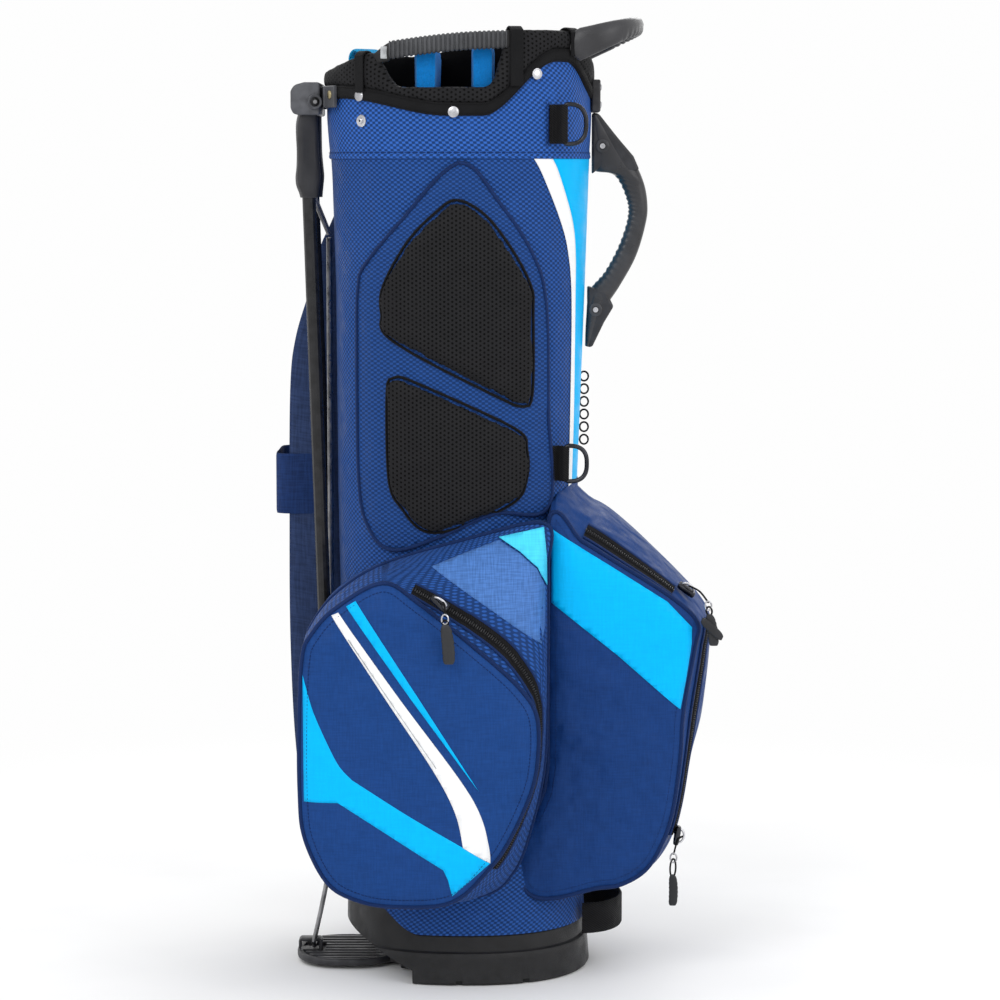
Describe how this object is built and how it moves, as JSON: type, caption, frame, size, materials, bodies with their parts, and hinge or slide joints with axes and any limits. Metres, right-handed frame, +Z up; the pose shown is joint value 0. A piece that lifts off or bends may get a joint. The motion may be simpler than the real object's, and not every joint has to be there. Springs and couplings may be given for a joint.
{
  "type": "golf stand bag",
  "caption": "Upright golf bag with folding legs worked by a foot pedal, a divided mouth, zipped side pockets, a padded hip panel and moulded carry handles.",
  "frame": {"origin": "centre of the flat bottom of the base, where the bag stands on the ground", "axes": "+Z up along the tube; +X towards the spine with the carry handle and the ball pocket; -X towards the stand legs; -Y towards the hip pad and the hip pocket; +Y towards the apparel pocket"},
  "size_m": [0.4155, 0.3675, 0.8905],
  "materials": {
    "moulded_base": "matte",
    "tube_cloth": "matte",
    "pocket_cloth": "matte",
    "dark_cloth": "matte",
    "fleece": "matte",
    "black_mesh": "matte",
    "webbing": "matte",
    "black_plastic": "satin",
    "grey_plastic": "satin",
    "black_rubber": "matte",
    "spring_steel": "satin",
    "black_tube": "satin",
    "nickel": "satin",
    "ring_metal": "satin"
  },
  "bodies": {
    "bag": {"apparel_pocket": "dark_cloth", "bag_tube": "tube_cloth", "ball_pocket": "pocket_cloth", "base_shell": "moulded_base", "carry_handle": "black_plastic", "collar_frame": "black_plastic", "collar_pad": "black_mesh", "collar_trim": "webbing", "d_ring_tab_lower": "webbing", "d_ring_tab_upper": "webbing", "divider_grid": "fleece", "divider_panel_leg": "fleece", "divider_panel_middle": "fleece", "divider_panel_spine": "fleece", "grab_loop": "webbing", "handle_screw_lower": "spring_steel", "handle_screw_upper": "spring_steel", "hip_pad_base": "tube_cloth", "hip_pad_mesh_lower": "black_mesh", "hip_pad_mesh_upper": "black_mesh", "hip_pocket": "pocket_cloth", "leg_pin_far": "spring_steel", "leg_pin_near": "spring_steel", "lift_handle": "black_rubber", "lift_handle_mount": "black_plastic", "pedal_pin": "spring_steel", "rim_grip": "grey_plastic", "rivet_corner": "nickel", "rivet_far": "nickel", "rivet_hip": "nickel", "rivet_leg": "nickel", "rivet_snap": "nickel", "rod_guide": "black_plastic", "stand_housing": "grey_plastic", "stay_hip": "grey_plastic", "stay_leg": "grey_plastic", "stay_pocket": "grey_plastic", "tee_loops": "black_rubber", "top_cuff": "tube_cloth", "towel_loop": "pocket_cloth"},
    "leg_near": {"leg_knuckle_near": "black_plastic", "leg_tube_near": "black_tube", "leg_foot_near": "black_rubber"},
    "leg_far": {"leg_knuckle_far": "black_plastic", "leg_tube_far": "black_tube", "leg_foot_far": "black_rubber"},
    "rod": {"actuator_rod": "spring_steel"},
    "link_near": {"link_wire_near": "spring_steel"},
    "link_far": {"link_wire_far": "spring_steel"},
    "pedal": {"pedal": "black_plastic"},
    "upper_ring": {"d_ring_upper": "ring_metal"},
    "lower_ring": {"d_ring_lower": "ring_metal"},
    "hip_slider": {"hip_zip_slider": "nickel"},
    "hip_puller": {"hip_zip_puller": "black_rubber"},
    "ball_side_slider": {"ball_side_zip_slider": "nickel"},
    "ball_side_puller": {"ball_side_zip_puller": "black_rubber"},
    "ball_top_slider": {"ball_top_zip_slider": "nickel"},
    "ball_top_puller": {"ball_top_zip_puller": "black_rubber"}
  },
  "joints": [
    {"name": "leg_near_swing", "type": "hinge", "parent": "bag", "child": "leg_near", "pos_m": [-0.14, -0.03, 0.812], "axis": [-0.342, 0.9397, 0], "range_deg": [0, 28], "stiffness_Nm_per_rad": 0.6},
    {"name": "leg_far_swing", "type": "hinge", "parent": "bag", "child": "leg_far", "pos_m": [-0.14, 0.03, 0.812], "axis": [0.342, 0.9397, 0], "range_deg": [0, 28]},
    {"name": "rod_slide", "type": "slide", "parent": "bag", "child": "rod", "axis": [0, 0, 1], "range_m": [0, 0.036]},
    {"name": "link_near_turn", "type": "hinge", "parent": "rod", "child": "link_near", "pos_m": [-0.124, -0.012, 0.69], "axis": [0.342, -0.9397, 0], "range_deg": [0, 40.5]},
    {"name": "link_far_turn", "type": "hinge", "parent": "rod", "child": "link_far", "pos_m": [-0.124, 0.012, 0.69], "axis": [-0.342, -0.9397, 0], "range_deg": [0, 40.5]},
    {"name": "pedal_turn", "type": "hinge", "parent": "bag", "child": "pedal", "pos_m": [-0.053, 0, 0.006], "axis": [0, 1, 0], "range_deg": [0, 21.75]},
    {"name": "upper_ring_swing", "type": "hinge", "parent": "bag", "child": "upper_ring", "pos_m": [0.0935, -0.0918, 0.791], "axis": [0, 0, 1], "range_deg": [-120, 15]},
    {"name": "lower_ring_swing", "type": "hinge", "parent": "bag", "child": "lower_ring", "pos_m": [0.0955, -0.073, 0.4815], "axis": [0, 0, 1], "range_deg": [-120, 15]},
    {"name": "hip_zip_travel", "type": "slide", "parent": "bag", "child": "hip_slider", "axis": [0.7768, 0, -0.6297], "range_m": [0, 0.08]},
    {"name": "hip_puller_swing", "type": "hinge", "parent": "hip_slider", "child": "hip_puller", "pos_m": [-0.013, -0.198, 0.358], "axis": [-1, 0, 0], "range_deg": [0, 80]},
    {"name": "ball_side_zip_travel", "type": "slide", "parent": "bag", "child": "ball_side_slider", "axis": [0.1603, 0, 0.9871], "range_m": [0, 0.155]},
    {"name": "ball_side_puller_swing", "type": "hinge", "parent": "ball_side_slider", "child": "ball_side_puller", "pos_m": [0.197, -0.08, 0.117], "axis": [0, -1, 0], "range_deg": [0, 80]},
    {"name": "ball_top_zip_travel", "type": "slide", "parent": "bag", "child": "ball_top_slider", "axis": [-0.7847, 0, 0.6198], "range_m": [0, 0.08]},
    {"name": "ball_top_puller_swing", "type": "hinge", "parent": "ball_top_slider", "child": "ball_top_puller", "pos_m": [0.226, -0.1045, 0.357], "axis": [-1, 0, 0], "range_deg": [0, 80]}
  ],
  "couplings": [
    {"joint": "leg_far_swing", "follows": "leg_near_swing", "ratio": 1},
    {"joint": "rod_slide", "follows": "leg_near_swing", "m_per_rad": 0.073666},
    {"joint": "link_near_turn", "follows": "leg_near_swing", "ratio": 1.4464},
    {"joint": "link_far_turn", "follows": "leg_near_swing", "ratio": 1.4464},
    {"joint": "pedal_turn", "follows": "leg_near_swing", "ratio": 0.77678}
  ]
}
